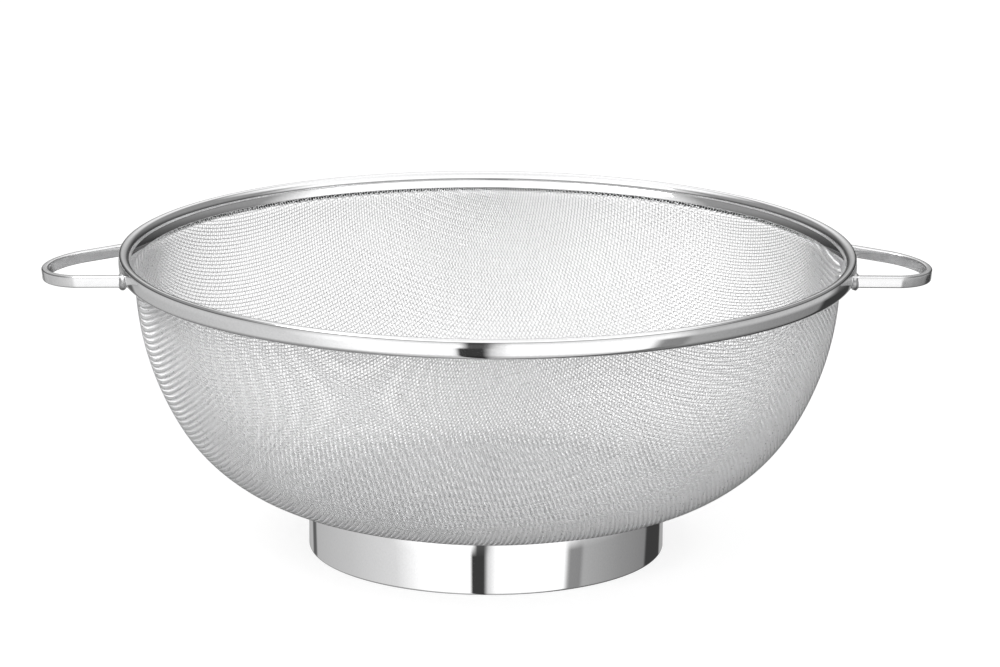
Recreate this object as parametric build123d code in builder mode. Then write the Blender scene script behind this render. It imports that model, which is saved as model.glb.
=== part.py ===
"""Two-handled mesh strainer bowl on a foot ring.

A deep-drawn woven wire bowl is clamped in a folded sheet rim that is rolled over
a core wire.  Two bent strip handles are welded to the rim, one on each side along
X, and a bent strip foot ring carries the bowl.  Millimetres, +Z up, origin on the
floor plane at the centre of the foot ring.
"""

import math
import os

from build123d import *

# Driving dimensions -------------------------------------------------------

RIM_RADIUS = 140.0  # outermost face of the rim
RIM_TOP = 116.5  # highest point of the rim
RIM_FACE_HEIGHT = 7.5  # top of the rim to the underside of its rolled lip
RIM_BEAD_WIDTH = 4.3  # across the rolled part of the rim
RIM_SHEET = 0.5
RIM_LEG_LENGTH = 2.9  # inner leg, from the crease down along the mesh edge
CREASE_DROP = 3.3  # top of the rim to the crease of the inner leg
LIP_GAP = 0.75  # mesh to the end of the rolled lip
BEAD_RADII = [1.0, 2.7, 0.9, 1.7]  # crease, inner top, outer top, under-curl
BEND_STEPS = 4  # flats around each bend of the rim

CORE_WIRE_RADIUS = 1.5
CORE_WIRE_GAP = 0.08  # to the sheet rolled over it

MESH_THICKNESS = 0.7  # two crossing wires
WALL_RADIUS = 133.9  # outside of the mesh just below the rim
WALL_TOP = 108.4  # height where the mesh starts to flare into the rim
WALL_ARC_RADIUS = 108.0  # upper, nearly upright part of the bowl
WALL_ARC_TURN = 31.0  # degrees turned before the tighter lower arc
FLARE_ANGLE = 33.0  # degrees from upright, of the clamped mesh edge
FLARE_LENGTH = 4.3

FOOT_RADIUS = 68.2
FOOT_HEIGHT = 20.5
FOOT_SHEET = 0.8
FOOT_HEM_HEIGHT = 3.2
FOOT_LIP_WIDTH = 3.4
FOOT_LIP_BEND = 0.9  # mid-sheet radius of the bend under the bowl
HEM_BEND = 0.44
HEM_GAP = 0.1

STRIP_HEIGHT = 4.5
STRIP_THICKNESS = 2.5
STRIP_EDGE_RADIUS = 0.6
HANDLE_REACH = 169.5  # centre of the bowl to the outermost point of a handle
HANDLE_ROOT_HEIGHT = 110.0  # middle of the strip where it meets the rim
HANDLE_DROOP = 5.3  # degrees down, outward from the rim
HANDLE_ROOT_HALF_SPAN = 27.0  # outside of a leg at the rim
HANDLE_KNEE_HALF_SPAN = 21.5  # outside of a leg where the bend starts
HANDLE_KNEE_X = 155.5
KNEE_RADIUS = 5.0
ROOT_DEPTH = 4.0  # strip drawn this far inside the rim, then coped off

WELD_REACH = 1.9  # how far a weld fillet stands out of the rim
WELD_HALF_WIDTH = 3.0
WELD_HALF_HEIGHT = 3.4
WELD_TAPER = 22.0  # degrees, above and below

RIM_SEAM_ANGLE = 148.0  # degrees from +X
FOOT_SEAM_ANGLE = 100.0
SEAM_WIDTH = 1.6
SEAM_PROUD = 0.15
SEAM_OVERLAP = 0.2  # seam blank drawn this far into the ring, then coped off
FOOT_SEAM_BOTTOM = 1.5
FOOT_SEAM_TOP = 18.5

os.makedirs("parts", exist_ok=True)


def on_arc(centre, radius, degrees):
    """Point of a circle, measured from its own +X towards +Y."""
    angle = math.radians(degrees)
    return (
        centre[0] + radius * math.cos(angle),
        centre[1] + radius * math.sin(angle),
    )


def finish(builder, name):
    """Label a finished piece and write it."""
    builder.part.label = name
    export_step(builder.part, f"parts/{name}.step")


# Mesh bowl ----------------------------------------------------------------
# Two tangent arcs run from the upright wall down to the flat base.

wall_centre = (WALL_RADIUS - WALL_ARC_RADIUS, WALL_TOP)
knuckle = on_arc(wall_centre, WALL_ARC_RADIUS, -WALL_ARC_TURN)
base_arc_radius = (knuckle[1] - FOOT_HEIGHT) / (1 - math.sin(math.radians(WALL_ARC_TURN)))
base_centre = on_arc(knuckle, base_arc_radius, 180 - WALL_ARC_TURN)
flare_heading = 90 - FLARE_ANGLE


def bowl_outline(inset):
    """Half outline of the bowl, moved in from its outside by inset, base to edge."""
    wall = WALL_ARC_RADIUS - inset
    base = base_arc_radius - inset
    start = on_arc(base_centre, base, -90)
    joint = on_arc(base_centre, base, -WALL_ARC_TURN)
    top = on_arc(wall_centre, wall, 0)
    edge = on_arc(top, FLARE_LENGTH, flare_heading)
    lower_angle = -(90 + WALL_ARC_TURN) / 2
    return [
        Line((0, start[1]), start),
        ThreePointArc(start, on_arc(base_centre, base, lower_angle), joint),
        ThreePointArc(joint, on_arc(wall_centre, wall, -WALL_ARC_TURN / 2), top),
        Line(top, edge),
    ]


with BuildPart() as mesh_bowl:
    with BuildSketch(Plane.XZ):
        with BuildLine():
            outside = bowl_outline(0)
            inside = bowl_outline(MESH_THICKNESS)
            Line(outside[0] @ 0, inside[0] @ 0)
            Line(outside[-1] @ 1, inside[-1] @ 1)
        make_face()
    revolve(axis=Axis.Z)
finish(mesh_bowl, "mesh_bowl")

# Rim band -----------------------------------------------------------------
# One strip: an inner leg on the mesh edge, the bead, and a lip rolled back under.


def rolled_outline(corners, radii):
    """Points along the corners, with each inner corner bent in equal short steps."""
    points = [corners[0]]
    for before, corner, after, radius in zip(corners, corners[1:], corners[2:], radii):
        tip = Vector(*corner)
        back = (Vector(*before) - tip).normalized()
        ahead = (Vector(*after) - tip).normalized()
        half_angle = math.acos(back.dot(ahead)) / 2
        centre = tip + (back + ahead).normalized() * (radius / math.sin(half_angle))
        spoke = tip + back * (radius / math.tan(half_angle)) - centre
        last_spoke = tip + ahead * (radius / math.tan(half_angle)) - centre
        turn = spoke.get_signed_angle(last_spoke, Vector(0, 0, 1))
        for step in range(BEND_STEPS + 1):
            bent = centre + spoke.rotate(Axis.Z, turn * step / BEND_STEPS)
            points.append((bent.X, bent.Y))
    return points + [corners[-1]]


half_sheet = RIM_SHEET / 2
bead_outer = RIM_RADIUS - half_sheet
bead_inner = RIM_RADIUS - RIM_BEAD_WIDTH + half_sheet
bead_top = RIM_TOP - half_sheet
lip_level = RIM_TOP - RIM_FACE_HEIGHT + half_sheet
crease = (bead_inner, RIM_TOP - CREASE_DROP)
leg_end = on_arc(crease, RIM_LEG_LENGTH, flare_heading - 180)
lip_end_radius = WALL_RADIUS + LIP_GAP

rim_corners = [
    leg_end,
    crease,
    (bead_inner, bead_top),
    (bead_outer, bead_top),
    (bead_outer, lip_level),
    (lip_end_radius, lip_level),
]

with BuildPart() as rim_band:
    with BuildSketch(Plane.XZ):
        with BuildLine():
            Polyline(*rolled_outline(rim_corners, BEAD_RADII))
        trace(line_width=RIM_SHEET)
    revolve(axis=Axis.Z)
finish(rim_band, "rim_band")

# Rim core wire ------------------------------------------------------------
# It lies against the outer face and the large inner bend of the bead.

core_room = BEAD_RADII[1] - half_sheet - CORE_WIRE_RADIUS - CORE_WIRE_GAP
core_radius = bead_outer - half_sheet - CORE_WIRE_RADIUS - CORE_WIRE_GAP
core_offset = bead_inner + BEAD_RADII[1] - core_radius
core_level = bead_top - BEAD_RADII[1] + math.sqrt(core_room**2 - core_offset**2)

with BuildPart() as rim_core_wire:
    with BuildSketch(Plane.XZ):
        with Locations((core_radius, core_level)):
            Circle(CORE_WIRE_RADIUS)
    revolve(axis=Axis.Z)
finish(rim_core_wire, "rim_core_wire")

# Rim seam weld ------------------------------------------------------------
# A ground bead where the two ends of the rim strip meet, on the outer face.

seam_depth = SEAM_PROUD + 2 * SEAM_OVERLAP
seam_height = RIM_FACE_HEIGHT - BEAD_RADII[2] - BEAD_RADII[3] - 2 * half_sheet
seam_middle = RIM_TOP - half_sheet - BEAD_RADII[2] - seam_height / 2

with BuildPart() as rim_seam_weld:
    with BuildSketch(Plane.XY.offset(seam_middle)):
        with Locations(Location((0, 0), RIM_SEAM_ANGLE)):
            with Locations((RIM_RADIUS + SEAM_PROUD / 2, 0)):
                Rectangle(seam_depth, SEAM_WIDTH)
        Circle(RIM_RADIUS, mode=Mode.SUBTRACT)
    extrude(amount=seam_height / 2, both=True)
finish(rim_seam_weld, "rim_seam_weld")

# Foot ring ----------------------------------------------------------------
# A bent strip with a closed hem at the floor and a short lip under the bowl.

foot_wall = FOOT_RADIUS - FOOT_SHEET / 2
hem_wall = foot_wall - FOOT_SHEET - HEM_GAP
lip_height = FOOT_HEIGHT - FOOT_SHEET / 2

with BuildPart() as foot_ring:
    with BuildSketch(Plane.XZ):
        with BuildLine():
            FilletPolyline(
                (hem_wall, FOOT_HEM_HEIGHT),
                (hem_wall, FOOT_SHEET / 2),
                (foot_wall, FOOT_SHEET / 2),
                (foot_wall, lip_height),
                (FOOT_RADIUS - FOOT_LIP_WIDTH, lip_height),
                radius=[HEM_BEND, HEM_BEND, FOOT_LIP_BEND],
            )
        trace(line_width=FOOT_SHEET)
    revolve(axis=Axis.Z)
finish(foot_ring, "foot_ring")

# Foot seam weld -----------------------------------------------------------

with BuildPart() as foot_seam_weld:
    with BuildSketch(Plane.XY.offset(FOOT_SEAM_BOTTOM)):
        with Locations(Location((0, 0), FOOT_SEAM_ANGLE)):
            with Locations((FOOT_RADIUS + SEAM_PROUD / 2, 0)):
                Rectangle(seam_depth, SEAM_WIDTH)
        Circle(FOOT_RADIUS, mode=Mode.SUBTRACT)
    extrude(amount=FOOT_SEAM_TOP - FOOT_SEAM_BOTTOM)
finish(foot_seam_weld, "foot_seam_weld")

# Handles ------------------------------------------------------------------
# Each is one strip on edge: two legs that close in, a knee, and a round end.

half_strip = STRIP_THICKNESS / 2

span_loss = HANDLE_ROOT_HALF_SPAN - HANDLE_KNEE_HALF_SPAN
leg_slope = span_loss / (HANDLE_KNEE_X - RIM_RADIUS)
leg_root_span = HANDLE_ROOT_HALF_SPAN - half_strip
leg_knee_span = HANDLE_KNEE_HALF_SPAN - half_strip
knee_out = HANDLE_KNEE_X - RIM_RADIUS
end_out = HANDLE_REACH - half_strip - RIM_RADIUS


def handle_plane(side):
    """Plane through the strip's middle, drooping outward; side is +1 or -1 along X."""
    droop = math.radians(HANDLE_DROOP)
    origin = (side * RIM_RADIUS, 0, HANDLE_ROOT_HEIGHT)
    along = (side * math.cos(droop), 0, -math.sin(droop))
    up = (side * math.sin(droop), 0, math.cos(droop))
    return Plane(origin=origin, x_dir=along, z_dir=up)


def build_handle(side, name):
    """One strip handle, coped to the rim's outer face."""
    frame = handle_plane(side)
    leg_start_span = leg_root_span + ROOT_DEPTH * leg_slope
    with BuildPart() as handle:
        with BuildLine(frame) as path:
            Line((-ROOT_DEPTH, -leg_start_span), (knee_out, -leg_knee_span))
            ThreePointArc((knee_out, -leg_knee_span), (end_out, 0), (knee_out, leg_knee_span))
            Line((knee_out, leg_knee_span), (-ROOT_DEPTH, leg_start_span))
            knees = path.vertices().filter_by(lambda vertex: abs(vertex.Y) < leg_root_span - 2)
            fillet(knees, KNEE_RADIUS)
        section = Plane(origin=path.wire() @ 0, x_dir=frame.z_dir, z_dir=path.wire() % 0)
        with BuildSketch(section):
            RectangleRounded(STRIP_HEIGHT, STRIP_THICKNESS, STRIP_EDGE_RADIUS)
        sweep(path=path.wire())
        with Locations((0, 0, HANDLE_ROOT_HEIGHT)):
            Cylinder(RIM_RADIUS, 4 * STRIP_HEIGHT, mode=Mode.SUBTRACT)
    finish(handle, name)
    return handle


handle_left = build_handle(-1, "handle_left")
handle_right = build_handle(1, "handle_right")

# Handle welds -------------------------------------------------------------
# A fillet all round each leg where it stands on the rim.


def build_weld(side, sign, handle, name):
    """Weld fillet of one leg; sign is +1 for the leg on the +Y side."""
    span = sign * leg_root_span
    root_on_rim = side * math.sqrt(RIM_RADIUS**2 - leg_root_span**2)
    turn = math.degrees(math.atan2(span, root_on_rim))
    with BuildPart() as weld:
        with BuildSketch(Plane.XY.offset(HANDLE_ROOT_HEIGHT)):
            with Locations(Location((root_on_rim, span), turn)):
                Ellipse(WELD_REACH, WELD_HALF_WIDTH)
        extrude(amount=WELD_HALF_HEIGHT, both=True, taper=WELD_TAPER)
        with Locations((0, 0, HANDLE_ROOT_HEIGHT)):
            Cylinder(RIM_RADIUS, 4 * WELD_HALF_HEIGHT, mode=Mode.SUBTRACT)
        add(handle.part, mode=Mode.SUBTRACT)
    finish(weld, name)


for side, side_name, handle in ((-1, "left", handle_left), (1, "right", handle_right)):
    for sign, end_name in ((-1, "front"), (1, "back")):
        build_weld(side, sign, handle, f"handle_weld_{side_name}_{end_name}")
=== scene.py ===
"""Looks of a footed mesh strainer bowl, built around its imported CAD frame. Metres, +Z up."""

import math

import bpy
import numpy as np
from mathutils import Matrix, Vector


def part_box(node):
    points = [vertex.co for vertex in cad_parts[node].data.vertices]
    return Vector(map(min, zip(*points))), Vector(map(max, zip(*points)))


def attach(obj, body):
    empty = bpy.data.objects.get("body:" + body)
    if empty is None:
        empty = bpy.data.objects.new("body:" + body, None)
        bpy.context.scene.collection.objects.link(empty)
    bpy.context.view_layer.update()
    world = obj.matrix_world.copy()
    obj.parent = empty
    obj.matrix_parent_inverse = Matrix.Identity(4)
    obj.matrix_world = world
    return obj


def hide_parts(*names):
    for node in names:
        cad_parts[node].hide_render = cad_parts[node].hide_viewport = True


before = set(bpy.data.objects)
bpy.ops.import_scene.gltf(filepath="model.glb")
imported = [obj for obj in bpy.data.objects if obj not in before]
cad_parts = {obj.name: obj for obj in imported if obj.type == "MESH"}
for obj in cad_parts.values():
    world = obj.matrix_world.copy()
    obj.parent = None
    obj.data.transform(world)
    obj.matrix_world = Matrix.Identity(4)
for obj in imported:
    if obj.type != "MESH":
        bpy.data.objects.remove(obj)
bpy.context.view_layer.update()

MM = 0.001

# Sizes from the frame -----------------------------------------------------

rim_low, rim_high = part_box("rim_band")
foot_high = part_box("foot_ring")[1]

RIM_RADIUS = rim_high.x
RIM_TOP = rim_high.z
LIP_LEVEL = rim_low.z
BASE_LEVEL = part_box("mesh_bowl")[0].z
FOOT_RADIUS = foot_high.x
FOOT_HEIGHT = foot_high.z

# Driving sizes that the frame's boxes don't give ---------------------------

RIM_SHEET = 0.5 * MM
RIM_BEAD_WIDTH = 4.3 * MM
RIM_LEG_LENGTH = 2.9 * MM
CREASE_DROP = 3.3 * MM  # from the rim's top to the crease where the inner leg starts
LIP_GAP = 0.75 * MM  # from the cloth's widest part to the lip curled under the rim
BEAD_RADII = [1.0 * MM, 2.7 * MM, 0.9 * MM, 1.7 * MM]  # crease, inner top, outer top, lip
RIM_CROWN = 0.11 * MM  # the outer face bulges this much between its bends

MESH_THICKNESS = 0.7 * MM
WALL_RADIUS = 133.9 * MM
WALL_TOP = 108.4 * MM
WALL_ARC_RADIUS = 108.0 * MM
WALL_ARC_TURN = math.radians(31)
FLARE_ANGLE = math.radians(33)
CLOTH_TOP = 112.0 * MM  # the cut edge of the cloth, inside the rim
CLOTH_REACH = 205 * MM  # more than any wire runs from the cloth's centre line

WIRE_RADIUS = 0.19 * MM
WARP_STEP = 1.25 * MM  # along a warp wire, from one weft wire to the next
WEFT_STEP = 1.47 * MM
WARP_AZIMUTH = math.radians(45)  # a warp wire through the centre leaves it this way
CREST_SHARE = 0.2  # half the flat length of a crest, as a share of a step

FOOT_SHEET = 0.8 * MM
FOOT_HEM_HEIGHT = 3.2 * MM
FOOT_LIP_WIDTH = 3.4 * MM
FOOT_LIP_BEND = 0.9 * MM
HEM_BEND = 0.44 * MM
HEM_GAP = 0.1 * MM

STRIP_HEIGHT = 4.5 * MM
STRIP_THICKNESS = 2.5 * MM
STRIP_EDGE_RADIUS = 0.6 * MM
HANDLE_REACH = 169.5 * MM
HANDLE_ROOT_HEIGHT = 110.0 * MM
HANDLE_DROOP = math.radians(5.3)
ROOT_HALF_SPAN = 27.0 * MM
KNEE_HALF_SPAN = 21.5 * MM
KNEE_X = 155.5 * MM
KNEE_BLEND = 0.7 * MM
ROOT_DEPTH = 1.0 * MM  # the legs end this far inside the rim's outer face

WELD_REACH = 1.9 * MM
WELD_HALF_WIDTH = 3.0 * MM
WELD_HALF_HEIGHT = 3.4 * MM
WELD_SINK = 0.1 * MM  # the bead's middle lies this far inside the rim's outer face
BIG_LUMPS = 0.06  # as shares of the bead's size
SMALL_LUMPS = 0.04
WELD_POLE = 0.03  # radians from a pole of the bead to the flat that closes it

# How finely the pieces are cut ----------------------------------------------

BEND_STEPS = 8
CAP_STEPS = 4  # round each end of a strip's section
CROWN_STEPS = 8
RIM_TURNS = 540
FOOT_TURNS = 360
WIRE_SIDES = 4
PIECES_PER_DIRECTION = 6
LEG_POINTS = 9
KNEE_POINTS = 7
ARC_POINTS = 33
CORNER_STEPS = 5  # round each edge of a handle's strip
WELD_RINGS = 14
WELD_SPOKES = 32
SOLVER_ROUNDS = 5

# Mesh helpers --------------------------------------------------------------


def mesh_object(name, points, quads):
    """A smooth-shaded mesh object from arrays of points and quads."""
    mesh = bpy.data.meshes.new(name)
    mesh.vertices.add(len(points))
    mesh.vertices.foreach_set("co", np.asarray(points, np.float32).ravel())
    mesh.loops.add(quads.size)
    mesh.loops.foreach_set("vertex_index", quads.astype(np.int32).ravel())
    mesh.polygons.add(len(quads))
    starts = np.arange(0, quads.size, 4, dtype=np.int32)
    mesh.polygons.foreach_set("loop_start", starts)
    mesh.polygons.foreach_set("loop_total", np.full(len(quads), 4, np.int32))
    mesh.polygons.foreach_set("use_smooth", np.ones(len(quads), bool))
    mesh.update(calc_edges=True)
    piece = bpy.data.objects.new(name, mesh)
    bpy.context.scene.collection.objects.link(piece)
    return piece


def rounded(corners, radii):
    """Points along the corners, each one but the ends turned in a smooth bend."""
    corners = [Vector(corner) for corner in corners]
    points = [corners[0]]
    for before, corner, after, radius in zip(corners, corners[1:], corners[2:], radii):
        back = (before - corner).normalized()
        ahead = (after - corner).normalized()
        half_angle = back.angle(ahead) / 2
        centre = corner + (back + ahead).normalized() * (radius / math.sin(half_angle))
        spoke = corner + back * (radius / math.tan(half_angle)) - centre
        last_spoke = corner + ahead * (radius / math.tan(half_angle)) - centre
        turn = math.atan2(spoke.cross(last_spoke), spoke.dot(last_spoke))
        for step in range(BEND_STEPS + 1):
            points.append(centre + Matrix.Rotation(turn * step / BEND_STEPS, 2) @ spoke)
    points.append(corners[-1])
    return np.array(points)


def thickened(line, width):
    """Closed outline of a strip of this width along the line, with round ends."""
    step = np.gradient(line, axis=0)
    step /= np.linalg.norm(step, axis=1)[:, None]
    side = np.stack([-step[:, 1], step[:, 0]], 1) * width / 2

    def cap(end, start):
        spins = [Matrix.Rotation(-math.pi * k / CAP_STEPS, 2) for k in range(1, CAP_STEPS)]
        return [end + np.array(spin @ Vector(start - end)) for spin in spins]

    there, back = line + side, line[::-1] - side[::-1]
    return np.array([*there, *cap(line[-1], there[-1]), *back, *cap(line[0], back[-1])])


def band(start, end, size):
    """Quads between rings of size points: from each ring's first point to its fellow's."""
    ring = np.arange(size)
    following = (ring + 1) % size
    return np.stack(
        [
            start[:, None] + ring,
            start[:, None] + following,
            end[:, None] + following,
            end[:, None] + ring,
        ],
        -1,
    ).reshape(-1, 4)


def lathe(name, outline, turns):
    """A closed outline in the XZ plane turned about Z."""
    angles = np.arange(turns)[:, None] * 2 * math.pi / turns
    radius, level = outline[:, 0], outline[:, 1]
    level = np.broadcast_to(level, (turns, len(outline)))
    points = np.stack([radius * np.cos(angles), radius * np.sin(angles), level], 2)
    first = np.arange(turns) * len(outline)
    quads = band(first, np.roll(first, -1), len(outline))
    return mesh_object(name, points.reshape(-1, 3), quads)


def tube(name, points):
    """A tube through rows of points [row, point, xyz], closed flat at both ends."""
    rows, size = points.shape[:2]
    first = np.arange(rows) * size
    sides = band(first[:-1], first[1:], size)[:, [0, 3, 2, 1]]
    half = np.arange(size // 2 - 1)
    cap = np.stack([half, half + 1, size - 2 - half, size - 1 - half], -1)
    quads = np.concatenate([sides, cap, first[-1] + cap[:, ::-1]])
    return mesh_object(name, points.reshape(-1, 3), quads)


# Bowl surface ---------------------------------------------------------------
# The middle surface of the cloth: flat base, lower arc, wall arc, flare.

HALF_CLOTH = MESH_THICKNESS / 2
wall_centre = np.array([WALL_RADIUS - WALL_ARC_RADIUS, WALL_TOP])
wall_radius = WALL_ARC_RADIUS - HALF_CLOTH
knuckle = wall_centre + WALL_ARC_RADIUS * np.array(
    [math.cos(WALL_ARC_TURN), -math.sin(WALL_ARC_TURN)]
)
outer_base_radius = (knuckle[1] - BASE_LEVEL) / (1 - math.sin(WALL_ARC_TURN))
base_centre = knuckle + outer_base_radius * np.array(
    [-math.cos(WALL_ARC_TURN), math.sin(WALL_ARC_TURN)]
)
base_radius = outer_base_radius - HALF_CLOTH


def meridian(length):
    """Radius and height on the middle surface, this far from the centre along a meridian."""
    flat = base_centre[0]
    lower_turn = math.pi / 2 - WALL_ARC_TURN
    turn = np.clip((length - flat) / base_radius, 0, lower_turn) - math.pi / 2
    on_wall = length - flat - base_radius * lower_turn
    wall_turn = np.clip(on_wall / wall_radius, 0, WALL_ARC_TURN) - WALL_ARC_TURN
    flare = np.maximum(on_wall - wall_radius * WALL_ARC_TURN, 0)
    radius = np.where(length < flat, length, flat + base_radius * np.cos(turn))
    height = base_centre[1] + base_radius * np.sin(turn)
    radius = np.where(on_wall > 0, wall_centre[0] + wall_radius * np.cos(wall_turn), radius)
    height = np.where(on_wall > 0, wall_centre[1] + wall_radius * np.sin(wall_turn), height)
    return radius + flare * math.sin(FLARE_ANGLE), height + flare * math.cos(FLARE_ANGLE)


def surface(points):
    """Distance outside the middle surface, and the outward normal, at each point."""
    radius = np.maximum(np.hypot(points[:, 0], points[:, 1]), 1e-9)
    height = points[:, 2]
    gap = BASE_LEVEL + HALF_CLOTH - height
    normal = np.stack([np.zeros_like(radius), -np.ones_like(radius)], 1)
    for centre, size, start in (
        (base_centre, base_radius, -math.pi / 2),
        (wall_centre, wall_radius, -WALL_ARC_TURN),
    ):
        away = np.stack([radius, height], 1) - centre
        distance = np.hypot(away[:, 0], away[:, 1])
        on_arc = (away[:, 0] > 0) & (np.arctan2(away[:, 1], away[:, 0]) > start)
        gap = np.where(on_arc, distance - size, gap)
        normal = np.where(on_arc[:, None], away / distance[:, None], normal)
    on_flare = height > WALL_TOP
    cone = np.array([math.cos(FLARE_ANGLE), -math.sin(FLARE_ANGLE)])
    edge = np.array([WALL_RADIUS - HALF_CLOTH, WALL_TOP])
    gap = np.where(on_flare, (np.stack([radius, height], 1) - edge) @ cone, gap)
    normal = np.where(on_flare[:, None], cone, normal)
    spread = points[:, :2] / radius[:, None] * normal[:, :1]
    return gap, np.concatenate([spread, normal[:, 1:]], 1)


# Woven cloth ----------------------------------------------------------------
# A flat square-cut cloth drawn over the bowl keeps its steps along every wire and
# shears at the crossings, so each crossing lies one step from two earlier ones.


def drape_quadrant(warp_azimuth, weft_azimuth, warp_count, weft_count):
    """Crossings [i, j] of the cloth between two straight wires that meet at the centre."""
    grid = np.full((warp_count + 1, weft_count + 1, 3), np.nan)
    for azimuth, step, line in (
        (warp_azimuth, WARP_STEP, grid[:, 0]),
        (weft_azimuth, WEFT_STEP, grid[0, :]),
    ):
        radius, height = meridian(np.arange(len(line)) * step)
        line[:, 0] = radius * math.cos(azimuth)
        line[:, 1] = radius * math.sin(azimuth)
        line[:, 2] = height
    for diagonal in range(2, warp_count + weft_count + 1):
        first = max(1, diagonal - weft_count)
        i = np.arange(first, min(warp_count, diagonal - 1) + 1)
        j = diagonal - i
        grid[i, j] = next_crossings(grid[i - 1, j], grid[i, j - 1], grid[i - 1, j - 1])
    return grid


def next_crossings(before, beside, corner):
    """Points on the surface WARP_STEP from before and WEFT_STEP from beside."""
    with np.errstate(all="ignore"):
        span = beside - before
        length = np.linalg.norm(span, axis=1)[:, None]
        span = span / length
        along = (WARP_STEP**2 - WEFT_STEP**2 + length**2) / (2 * length)
        middle = before + span * along
        reach = np.sqrt(WARP_STEP**2 - along**2)
        normal = surface(middle)[1]
        ahead = np.cross(normal, span)
        ahead *= np.sign(((middle - corner) * ahead).sum(1))[:, None]
        lift = np.cross(span, ahead)
        lift *= np.sign((lift * normal).sum(1))[:, None]

        def swung(angle):
            return middle + reach * (np.cos(angle) * ahead + np.sin(angle) * lift)

        old = np.zeros_like(reach)
        old_gap = surface(swung(old))[0][:, None]
        new = -old_gap / reach
        for _ in range(SOLVER_ROUNDS):
            gap = surface(swung(new))[0][:, None]
            change = np.where(gap == old_gap, 0, gap * (new - old) / (gap - old_gap))
            old, old_gap, new = new, gap, new - change
        found = swung(new)
        found[~(found[:, 2] < CLOTH_TOP)] = np.nan
    return found


def drape():
    """Crossings of the whole cloth; [warp_count, weft_count] is its centre."""
    warp_count, weft_count = int(CLOTH_REACH / WARP_STEP), int(CLOTH_REACH / WEFT_STEP)
    cloth = np.full((2 * warp_count + 1, 2 * weft_count + 1, 3), np.nan)
    for warp_side in (1, -1):
        for weft_side in (1, -1):
            warp_azimuth = WARP_AZIMUTH + (0 if warp_side > 0 else math.pi)
            weft_azimuth = WARP_AZIMUTH + weft_side * math.pi / 2
            quarter = drape_quadrant(warp_azimuth, weft_azimuth, warp_count, weft_count)
            quarter[~(quarter[..., 2] < CLOTH_TOP)] = np.nan
            warp_half = cloth[warp_count:] if warp_side > 0 else cloth[warp_count::-1]
            if weft_side > 0:
                warp_half[:, weft_count:] = quarter
            else:
                warp_half[:, weft_count::-1] = quarter
    return cloth


def wire_tubes(name, crossings, over):
    """One mesh of the wires that run along the first index of crossings.

    over is +1 where the wire passes outside the other direction's and -1 inside.
    """
    there = ~np.isnan(crossings[..., 0])
    neighbour = np.zeros_like(there)
    neighbour[:-1] |= there[1:]
    neighbour[1:] |= there[:-1]
    there &= neighbour
    number = np.full(there.shape, -1)
    number[there] = np.arange(there.sum())
    before = np.roll(crossings, 1, axis=0)
    after = np.roll(crossings, -1, axis=0)
    has_before = np.roll(there, 1, axis=0) & there
    has_after = np.roll(there, -1, axis=0) & there
    has_before[0] = False
    has_after[-1] = False
    before = np.where(has_before[..., None], before, 2 * crossings - after)
    after = np.where(has_after[..., None], after, 2 * crossings - before)

    at, back, ahead = crossings[there], before[there], after[there]
    normal = surface(at)[1]
    run = ahead - back
    run /= np.linalg.norm(run, axis=1)[:, None]
    side = np.cross(run, normal)
    side /= np.linalg.norm(side, axis=1)[:, None]
    normal = np.cross(side, run)
    raised = at + normal * (over[there] * WIRE_RADIUS)[:, None]
    rings = []
    for neighbour_point in (back, ahead):
        centre = raised + (neighbour_point - at) * CREST_SHARE
        for k in range(WIRE_SIDES):
            angle = 2 * math.pi * k / WIRE_SIDES
            spoke = math.cos(angle) * normal + math.sin(angle) * side
            rings.append(centre + WIRE_RADIUS * spoke)
    points = np.stack(rings, 1).reshape(-1, 3)

    ring = np.arange(WIRE_SIDES)
    size = 2 * WIRE_SIDES  # a node has a ring of points before its crest and one after
    every = number[there]
    from_nodes = number[:-1][has_after[:-1]]
    to_nodes = number[1:][has_after[:-1]]
    starts = number[there & ~has_before]
    ends = number[there & ~has_after]
    quads = np.concatenate(
        [
            band(every * size, every * size + WIRE_SIDES, WIRE_SIDES),
            band(from_nodes * size + WIRE_SIDES, to_nodes * size, WIRE_SIDES),
            starts[:, None] * size + ring[None, ::-1],
            ends[:, None] * size + WIRE_SIDES + ring[None, :],
        ]
    )
    return mesh_object(name, points, quads)


def split_wires(crossings, count):
    """Ranges of wire numbers that hold about as many crossings each."""
    sizes = (~np.isnan(crossings[..., 0])).sum(axis=0).cumsum()
    cuts = [int(np.searchsorted(sizes, sizes[-1] * k / count)) for k in range(1, count)]
    return list(zip([0] + cuts, cuts + [crossings.shape[1]]))


def build_cloth(material):
    """All wire pieces, warp and weft, standing for the mesh bowl."""
    cloth = drape()
    i, j = np.indices(cloth.shape[:2])
    over = np.where((i + j) % 2 == 0, 1.0, -1.0)
    for direction, crossings, sign in (
        ("warp", cloth, over),
        ("weft", cloth.transpose(1, 0, 2), -over.T),
    ):
        for k, (first, last) in enumerate(split_wires(crossings, PIECES_PER_DIRECTION)):
            name = f"{direction}_wires_{k + 1}"
            piece = wire_tubes(name, crossings[:, first:last], sign[:, first:last])
            dress(piece, material, "mesh_bowl")


# Pieces ----------------------------------------------------------------------


def dress(piece, material, node):
    """Give a new piece its material and body, and hide the CAD node that it stands for."""
    piece.data.materials.append(material)
    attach(piece, "root")
    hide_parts(node)


def crowned(line):
    """The rim's line with its straight outer face bulged outward a little."""
    drops = np.where(line[1:, 0] > RIM_RADIUS - RIM_SHEET, line[:-1, 1] - line[1:, 1], 0)
    start = int(np.argmax(drops))
    share = np.linspace(0, 1, CROWN_STEPS + 1)[1:-1, None]
    face = line[start] + (line[start + 1] - line[start]) * share
    face[:, :1] += RIM_CROWN * 4 * share * (1 - share)
    return np.concatenate([line[: start + 1], face, line[start + 1 :]])


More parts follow.
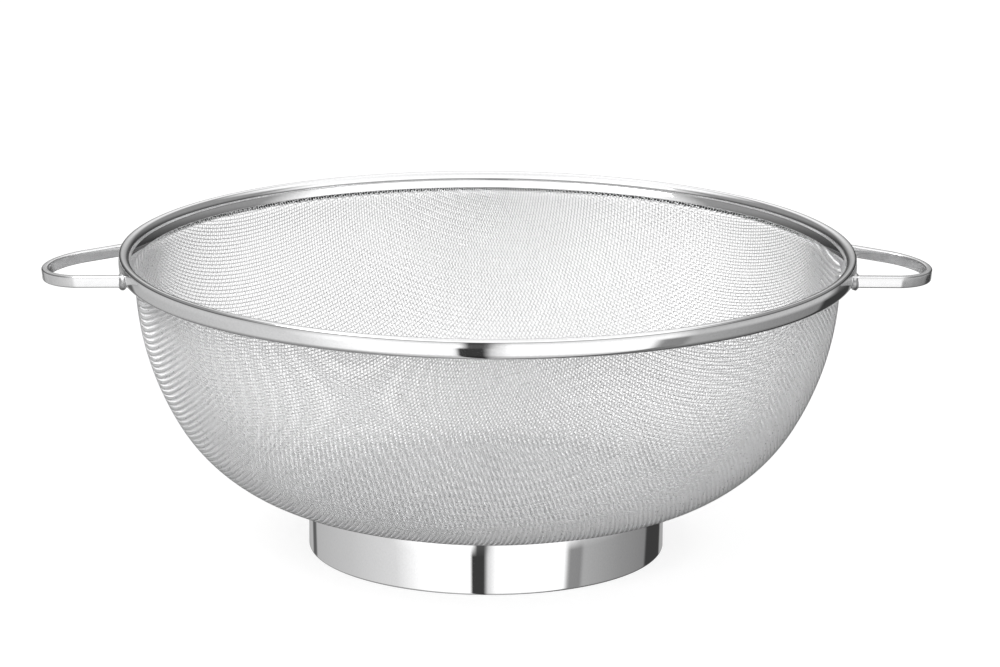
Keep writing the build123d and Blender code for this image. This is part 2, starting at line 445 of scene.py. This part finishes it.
def build_rim(material):
    """The strip folded over the cloth's edge, from its inner leg round to the curled lip."""
    half = RIM_SHEET / 2
    outer = RIM_RADIUS - half
    inner = RIM_RADIUS - RIM_BEAD_WIDTH + half
    top = RIM_TOP - half
    lip = LIP_LEVEL + half
    crease = (inner, RIM_TOP - CREASE_DROP)
    leg_end = (
        crease[0] - RIM_LEG_LENGTH * math.sin(FLARE_ANGLE),
        crease[1] - RIM_LEG_LENGTH * math.cos(FLARE_ANGLE),
    )
    lip_end = (WALL_RADIUS + LIP_GAP, lip)
    corners = [leg_end, crease, (inner, top), (outer, top), (outer, lip), lip_end]
    line = rounded(corners, BEAD_RADII)
    outline = thickened(crowned(line), RIM_SHEET)
    dress(lathe("rim_sheet", outline, RIM_TURNS), material, "rim_band")


def build_foot(material):
    """The foot's strip, from the hem inside the floor edge up to the lip under the bowl."""
    wall = FOOT_RADIUS - FOOT_SHEET / 2
    hem = wall - FOOT_SHEET - HEM_GAP
    low = FOOT_SHEET / 2
    lip = FOOT_HEIGHT - FOOT_SHEET / 2
    corners = [
        (hem, FOOT_HEM_HEIGHT),
        (hem, low),
        (wall, low),
        (wall, lip),
        (FOOT_RADIUS - FOOT_LIP_WIDTH, lip),
    ]
    radii = [HEM_BEND, HEM_BEND, FOOT_LIP_BEND]
    outline = thickened(rounded(corners, radii), FOOT_SHEET)
    dress(lathe("foot_strip", outline, FOOT_TURNS), material, "foot_ring")


def handle_path():
    """Points along a handle's strip, in its own plane: out from the rim, and across."""
    half = STRIP_THICKNESS / 2
    knee_out = KNEE_X - RIM_RADIUS
    knee_span = KNEE_HALF_SPAN - half
    slope = (ROOT_HALF_SPAN - KNEE_HALF_SPAN) / knee_out
    end_out = HANDLE_REACH - half - RIM_RADIUS
    rise = end_out - knee_out
    bend = (knee_span**2 + rise**2) / (2 * rise)
    centre = end_out - bend
    knee_angle = math.atan2(knee_span, knee_out - centre)
    root_span = knee_span + knee_out * slope
    root_out = math.sqrt((RIM_RADIUS - ROOT_DEPTH) ** 2 - root_span**2) - RIM_RADIUS
    root = (root_out, -(knee_span + (knee_out - root_out) * slope))
    leg = np.array([root, (knee_out, -knee_span)])
    direction = (leg[1] - leg[0]) / np.linalg.norm(leg[1] - leg[0])
    before_knee = leg[1] - direction * KNEE_BLEND
    sweep = np.linspace(-knee_angle + KNEE_BLEND / bend, 0, ARC_POINTS)
    arc = np.stack([centre + bend * np.cos(sweep), bend * np.sin(sweep)], 1)
    straight = leg[0] + (before_knee - leg[0]) * np.linspace(0, 1, LEG_POINTS)[:, None]
    t = np.linspace(0, 1, KNEE_POINTS)[1:-1, None]
    knee = (1 - t) ** 2 * before_knee + 2 * t * (1 - t) * leg[1] + t**2 * arc[0]
    half_path = np.concatenate([straight, knee, arc])
    return np.concatenate([half_path, half_path[-2::-1] * [1, -1]])


def rounded_section(width, height, radius):
    """Points of a rounded rectangle, counter-clockwise."""
    points = []
    for x, y, start in ((1, 1, 0), (-1, 1, 90), (-1, -1, 180), (1, -1, 270)):
        for k in range(CORNER_STEPS + 1):
            angle = math.radians(start + 90 * k / CORNER_STEPS)
            points.append(
                (
                    x * (width / 2 - radius) + radius * math.cos(angle),
                    y * (height / 2 - radius) + radius * math.sin(angle),
                )
            )
    return np.array(points)


def build_handle(side, name, node, material):
    """One bent strip handle; side is +1 or -1 along X."""
    path = handle_path()
    run = np.gradient(path, axis=0)
    run /= np.linalg.norm(run, axis=1)[:, None]
    across = np.stack([run[:, 1], -run[:, 0]], 1)
    section = rounded_section(STRIP_THICKNESS, STRIP_HEIGHT, STRIP_EDGE_RADIUS)
    flat = path[:, None, :] + across[:, None, :] * section[None, :, :1]
    up = np.broadcast_to(section[None, :, 1], flat.shape[:2])
    out = math.cos(HANDLE_DROOP) * flat[..., 0] + math.sin(HANDLE_DROOP) * up
    level = -math.sin(HANDLE_DROOP) * flat[..., 0] + math.cos(HANDLE_DROOP) * up
    points = np.stack(
        [side * (RIM_RADIUS + out), side * flat[..., 1], HANDLE_ROOT_HEIGHT + level], -1
    )
    dress(tube(name, points), material, node)


def build_weld(side, sign, name, node, material):
    """A lumpy bead of weld round the root of one handle leg."""
    span = sign * (ROOT_HALF_SPAN - STRIP_THICKNESS / 2)
    turn = math.atan2(span, side * math.sqrt(RIM_RADIUS**2 - span**2))
    tilts = np.linspace(WELD_POLE, math.pi - WELD_POLE, WELD_RINGS)
    spins = np.arange(WELD_SPOKES) * 2 * math.pi / WELD_SPOKES
    tilt, spin = np.meshgrid(tilts, spins, indexing="ij")
    lumps = 1 + BIG_LUMPS * np.sin(3 * spin + 2 * side) * np.sin(4 * tilt + sign)
    lumps += SMALL_LUMPS * np.sin(7 * spin + 5 * sign) * np.sin(6 * tilt)
    out = WELD_REACH * lumps * np.cos(tilt)
    across = WELD_HALF_WIDTH * lumps * np.sin(tilt) * np.cos(spin)
    up = WELD_HALF_HEIGHT * lumps * np.sin(tilt) * np.sin(spin)
    radius = RIM_RADIUS - WELD_SINK + out
    angle = turn + across / RIM_RADIUS
    points = np.stack(
        [radius * np.cos(angle), radius * np.sin(angle), HANDLE_ROOT_HEIGHT + up], -1
    )
    dress(tube(name, points), material, node)


# Materials --------------------------------------------------------------------


NOISE_LOW, NOISE_HIGH = 0.3, 0.7  # the part of the noise that tint and roughness follow
NOISE_DETAIL = 6.0
COOLNESS = 1.005  # blue over red
BUMP_STRENGTH = 0.3
RING_GRAIN = (6, 60, 60)  # long along the ring, fine across it


def steel(name, tints, roughness, scale, bump=0.0, ring=False):
    """Procedural stainless steel.

    tints and roughness are (low, high) pairs that a noise moves between; ring
    draws the noise out around the object's axis.
    """
    material = bpy.data.materials.new(name)
    material.use_nodes = True
    tree = material.node_tree
    shader = tree.nodes["Principled BSDF"]
    shader.inputs["Metallic"].default_value = 1.0
    place = tree.nodes.new("ShaderNodeTexCoord").outputs["Object"]
    if ring:
        mapping = tree.nodes.new("ShaderNodeMapping")
        mapping.inputs["Scale"].default_value = RING_GRAIN
        tree.links.new(around_axis(tree, place), mapping.inputs["Vector"])
        place = mapping.outputs["Vector"]
    noise = tree.nodes.new("ShaderNodeTexNoise")
    noise.inputs["Scale"].default_value = scale
    noise.inputs["Detail"].default_value = NOISE_DETAIL
    tree.links.new(place, noise.inputs["Vector"])
    spread = tree.nodes.new("ShaderNodeMapRange")
    for socket, value in zip(spread.inputs[1:5], (NOISE_LOW, NOISE_HIGH, *roughness)):
        socket.default_value = value
    tree.links.new(noise.outputs["Fac"], spread.inputs["Value"])
    tree.links.new(spread.outputs["Result"], shader.inputs["Roughness"])
    ramp = tree.nodes.new("ShaderNodeValToRGB")
    for element, tint, position in zip(
        ramp.color_ramp.elements, tints, (NOISE_LOW, NOISE_HIGH)
    ):
        element.color = (tint, tint, tint * COOLNESS, 1)
        element.position = position
    tree.links.new(noise.outputs["Fac"], ramp.inputs["Fac"])
    tree.links.new(ramp.outputs["Color"], shader.inputs["Base Color"])
    if bump:
        relief = tree.nodes.new("ShaderNodeBump")
        relief.inputs["Strength"].default_value = BUMP_STRENGTH
        relief.inputs["Distance"].default_value = bump
        tree.links.new(noise.outputs["Fac"], relief.inputs["Height"])
        tree.links.new(relief.outputs["Normal"], shader.inputs["Normal"])
    return material


def around_axis(tree, place):
    """Object coordinates as (angle, radius, height), so that a grain follows a ring."""
    split = tree.nodes.new("ShaderNodeSeparateXYZ")
    tree.links.new(place, split.inputs["Vector"])
    angle = math_node(tree, "ARCTAN2", split.outputs["Y"], split.outputs["X"])
    length = tree.nodes.new("ShaderNodeVectorMath")
    length.operation = "LENGTH"
    tree.links.new(place, length.inputs[0])
    joined = tree.nodes.new("ShaderNodeCombineXYZ")
    tree.links.new(angle, joined.inputs["X"])
    tree.links.new(length.outputs["Value"], joined.inputs["Y"])
    tree.links.new(split.outputs["Z"], joined.inputs["Z"])
    return joined.outputs["Vector"]


# Studio -------------------------------------------------------------------------


FLOOR_SIZE = 8
FLOOR_ROUGHNESS = 0.9
FLOOR_ALBEDO = 0.3
PAINTED_SHADOW_ALBEDO = 0.03  # painted shadow: the floor's colour inside the foot, standing in for the bowl's shade there
FLOOR_GLOW = 0.76

SOFTBOX_SIZE = 0.7
SOFTBOX_POWER = 8.0
SOFTBOX_PLACE = (-0.9, -0.5, 1.3)

LENS = 167.43  # mm, like the sensor's width
SENSOR_WIDTH = 36.0
LENS_SHIFT = 0.0127
CAMERA_TURN = math.radians(-1.47)  # about Z, away from straight in front
CAMERA_DISTANCE = 1.7219
CAMERA_HEIGHT = 0.5222
CAMERA_TILT = math.radians(75.70)  # up from straight down
CAMERA_ROLL = math.radians(0.37)
CLIP_END = 50


def build_floor():
    """A pale floor lit from beneath, with a painted shadow inside the foot, where it is dark
    and has no glow; mirrors don't see it.
    """
    bpy.ops.mesh.primitive_plane_add(size=FLOOR_SIZE)
    floor = bpy.context.object
    floor.name = "floor"
    material = bpy.data.materials.new("floor")
    material.use_nodes = True
    tree = material.node_tree
    shader = tree.nodes["Principled BSDF"]
    shader.inputs["Roughness"].default_value = FLOOR_ROUGHNESS
    shader.inputs["Specular IOR Level"].default_value = 0.0
    shader.inputs["Emission Color"].default_value = (1, 1, 1, 1)
    reach = tree.nodes.new("ShaderNodeVectorMath")
    reach.operation = "LENGTH"
    place = tree.nodes.new("ShaderNodeTexCoord").outputs["Object"]
    tree.links.new(place, reach.inputs[0])
    # Painted shadow: inside the foot's wall the floor takes the dark albedo and no glow.
    edge = FOOT_RADIUS - FOOT_SHEET
    outside = math_node(tree, "GREATER_THAN", reach.outputs["Value"], edge)
    glow = math_node(tree, "MULTIPLY", outside, FLOOR_GLOW)
    added = FLOOR_ALBEDO - PAINTED_SHADOW_ALBEDO
    albedo = math_node(tree, "MULTIPLY_ADD", outside, added, PAINTED_SHADOW_ALBEDO)
    tree.links.new(albedo, shader.inputs["Base Color"])
    tree.links.new(glow, shader.inputs["Emission Strength"])
    floor.data.materials.append(material)
    floor.visible_glossy = False


# Brightness of the world all round, well below level. The first numbers are degrees
# about Z: 0 is -Y, the camera's side, and 90 is +X.
LOW_RING = [
    (-180, 0.40),
    (-157, 0.50),
    (-154, 0.12),
    (-148, 0.12),
    (-145, 0.50),
    (-100, 0.62),
    (-62, 0.80),
    (-40, 1.30),
    (-11.5, 1.30),
    (-10, 0.05),
    (-2.5, 0.05),
    (0, 0.80),
    (6, 1.30),
    (50, 1.30),
    (54, 0.30),
    (62, 0.28),
    (65, 0.45),
    (96, 0.32),
    (124, 0.25),
    (127, 0.05),
    (152, 0.05),
    (156, 0.40),
    (180, 0.40),
]
HIGH_RING = [  # the same, nearer level
    (-180, 0.10),
    (-150, 0.20),
    (-135, 0.60),
    (-66, 0.75),
    (-45, 1.35),
    (-10, 1.35),
    (-7, 0.10),
    (-2, 0.10),
    (1, 0.80),
    (6, 1.35),
    (56, 1.20),
    (66, 0.62),
    (128, 0.60),
    (138, 0.14),
    (180, 0.10),
]
SKY_RING = [  # the same, above level, where the sides of the tent are open
    (-180, 1.00),
    (-172, 0.90),
    (-158, 0.25),
    (-85, 0.28),
    (-60, 1.20),
    (60, 1.20),
    (85, 0.28),
    (158, 0.25),
    (172, 0.90),
    (180, 1.00),
]
DOME = [  # degrees above level and brightness; the rings multiply this
    (-90, 0.50),
    (-60, 0.48),
    (-40, 0.60),
    (-30, 0.85),
    (-22, 1.0),
    (-8, 1.0),
    (-2, 0.5),
    (4, 0.22),
    (12, 0.50),
    (25, 1.2),
    (45, 1.3),
    (90, 1.0),
]
PEAK = 2.0  # a ramp's colours are brightness divided by this, to stay below 1
RING_SPLIT = math.radians(-14)  # the high ring takes over from the low one here
RING_BLEND = math.radians(3)
RING_TOP = math.radians(0)  # the sky ring takes over from the high one here
RING_FADE = math.radians(8)
SKY_TOP = math.radians(42)  # the sky ring fades out from here
SKY_FADE = math.radians(12)


def ramp_of(tree, value, stops):
    """Brightness over PEAK at an angle, through stops of (degrees, brightness)."""
    low, high = stops[0][0], stops[-1][0]
    ramp = tree.nodes.new("ShaderNodeValToRGB")
    elements = ramp.color_ramp.elements
    while len(elements) > 1:
        elements.remove(elements[0])
    for k, (degrees, brightness) in enumerate(stops):
        position = (degrees - low) / (high - low)
        element = elements[0] if k == 0 else elements.new(position)
        element.position = position
        element.color = (*[brightness / PEAK] * 3, 1)
    share = share_of(tree, value, math.radians(low), math.radians(high))
    tree.links.new(share, ramp.inputs["Fac"])
    return ramp.outputs["Color"]


def math_node(tree, operation, *values):
    """Result of a math node on these values, which may be numbers or sockets."""
    node = tree.nodes.new("ShaderNodeMath")
    node.operation = operation
    for socket, value in zip(node.inputs, values):
        if isinstance(value, (int, float)):
            socket.default_value = value
        else:
            tree.links.new(value, socket)
    return node.outputs["Value"]


def share_of(tree, value, start, end):
    """0 up to the start and 1 from the end, straight between; start may lie above end."""
    share = tree.nodes.new("ShaderNodeMapRange")
    share.inputs["From Min"].default_value = start
    share.inputs["From Max"].default_value = end
    tree.links.new(value, share.inputs["Value"])
    return share.outputs["Result"]


def mixed(tree, blend, share, first, second):
    """Colour of first, turned towards its blend with second by share."""
    mix = tree.nodes.new("ShaderNodeMix")
    mix.data_type = "RGBA"
    mix.blend_type = blend
    mix.clamp_result = False
    tree.links.new(share, mix.inputs["Factor"])
    tree.links.new(first, mix.inputs[6])
    tree.links.new(second, mix.inputs[7])
    return mix.outputs[2]


def build_world():
    """A soft light tent: bright above, with the gaps and flags of a studio low down."""
    world = bpy.data.worlds.new("studio")
    bpy.context.scene.world = world
    world.use_nodes = True
    tree = world.node_tree
    direction = tree.nodes.new("ShaderNodeTexCoord").outputs["Generated"]
    split = tree.nodes.new("ShaderNodeSeparateXYZ")
    tree.links.new(direction, split.inputs["Vector"])
    elevation = math_node(tree, "ARCSINE", split.outputs["Z"])
    towards_camera = math_node(tree, "MULTIPLY", split.outputs["Y"], -1.0)
    azimuth = math_node(tree, "ARCTAN2", split.outputs["X"], towards_camera)
    low_ring, high_ring, sky_ring = [
        ramp_of(tree, azimuth, ring) for ring in (LOW_RING, HIGH_RING, SKY_RING)
    ]
    dome = ramp_of(tree, elevation, DOME)
    raised = share_of(tree, elevation, RING_SPLIT, RING_SPLIT + RING_BLEND)
    ring = mixed(tree, "MIX", raised, low_ring, high_ring)
    overhead = share_of(tree, elevation, RING_TOP, RING_TOP + RING_FADE)
    ring = mixed(tree, "MIX", overhead, ring, sky_ring)
    factor = tree.nodes.new("ShaderNodeVectorMath")
    factor.operation = "SCALE"
    factor.inputs["Scale"].default_value = PEAK
    tree.links.new(ring, factor.inputs[0])
    kept = share_of(tree, elevation, SKY_TOP + SKY_FADE, SKY_TOP)
    both = mixed(tree, "MULTIPLY", kept, dome, factor.outputs["Vector"])
    background = tree.nodes["Background"]
    tree.links.new(both, background.inputs["Color"])
    background.inputs["Strength"].default_value = PEAK


def build_key_light():
    """A softbox high on the left, which leaves a faint shadow to the right."""
    light = bpy.data.lights.new("softbox", "AREA")
    light.size = SOFTBOX_SIZE
    light.energy = SOFTBOX_POWER
    holder = bpy.data.objects.new("softbox", light)
    holder.location = SOFTBOX_PLACE
    aim = Vector((0, 0, RIM_TOP / 2)) - holder.location
    holder.rotation_euler = aim.to_track_quat("-Z", "Y").to_euler()
    bpy.context.scene.collection.objects.link(holder)


def build_camera():
    """The photo's camera: a long lens, a little above the bowl, looking slightly down."""
    camera = bpy.data.cameras.new("camera")
    camera.lens = LENS
    camera.sensor_width = SENSOR_WIDTH
    camera.shift_x = LENS_SHIFT
    camera.clip_end = CLIP_END
    holder = bpy.data.objects.new("camera", camera)
    turn = Matrix.Rotation(CAMERA_TURN, 4, "Z")
    place = Matrix.Translation((0, -CAMERA_DISTANCE, CAMERA_HEIGHT))
    tilt = Matrix.Rotation(CAMERA_TILT, 4, "X")
    roll = Matrix.Rotation(CAMERA_ROLL, 4, "Z")
    holder.matrix_world = turn @ place @ tilt @ roll
    bpy.context.scene.collection.objects.link(holder)
    bpy.context.scene.camera = holder


# Assembly ----------------------------------------------------------------------

wire_steel = steel("wire_steel", (0.9, 1.0), (0.26, 0.38), 900)
rim_steel = steel("rim_steel", (0.8, 0.86), (0.03, 0.06), 20, ring=True)
foot_steel = steel("foot_steel", (0.84, 0.88), (0.02, 0.04), 20, ring=True)
handle_steel = steel("handle_steel", (0.78, 0.86), (0.14, 0.24), 500, bump=0.05 * MM)
weld_steel = steel("weld_steel", (0.45, 0.7), (0.3, 0.45), 700, bump=0.15 * MM)
core_steel = steel("core_steel", (0.6, 0.7), (0.3, 0.4), 600)

build_cloth(wire_steel)
build_rim(rim_steel)
build_foot(foot_steel)
for side, side_name in ((-1, "left"), (1, "right")):
    build_handle(side, f"strip_handle_{side_name}", f"handle_{side_name}", handle_steel)
    for sign, end_name in ((-1, "front"), (1, "back")):
        node = f"handle_weld_{side_name}_{end_name}"
        build_weld(side, sign, f"weld_bead_{side_name}_{end_name}", node, weld_steel)

for node, material in (
    ("rim_core_wire", core_steel),
    ("rim_seam_weld", weld_steel),
    ("foot_seam_weld", weld_steel),
):
    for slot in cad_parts[node].material_slots:
        slot.material = material

build_floor()
build_world()
build_key_light()
build_camera()
bpy.context.scene.view_settings.view_transform = "Standard"
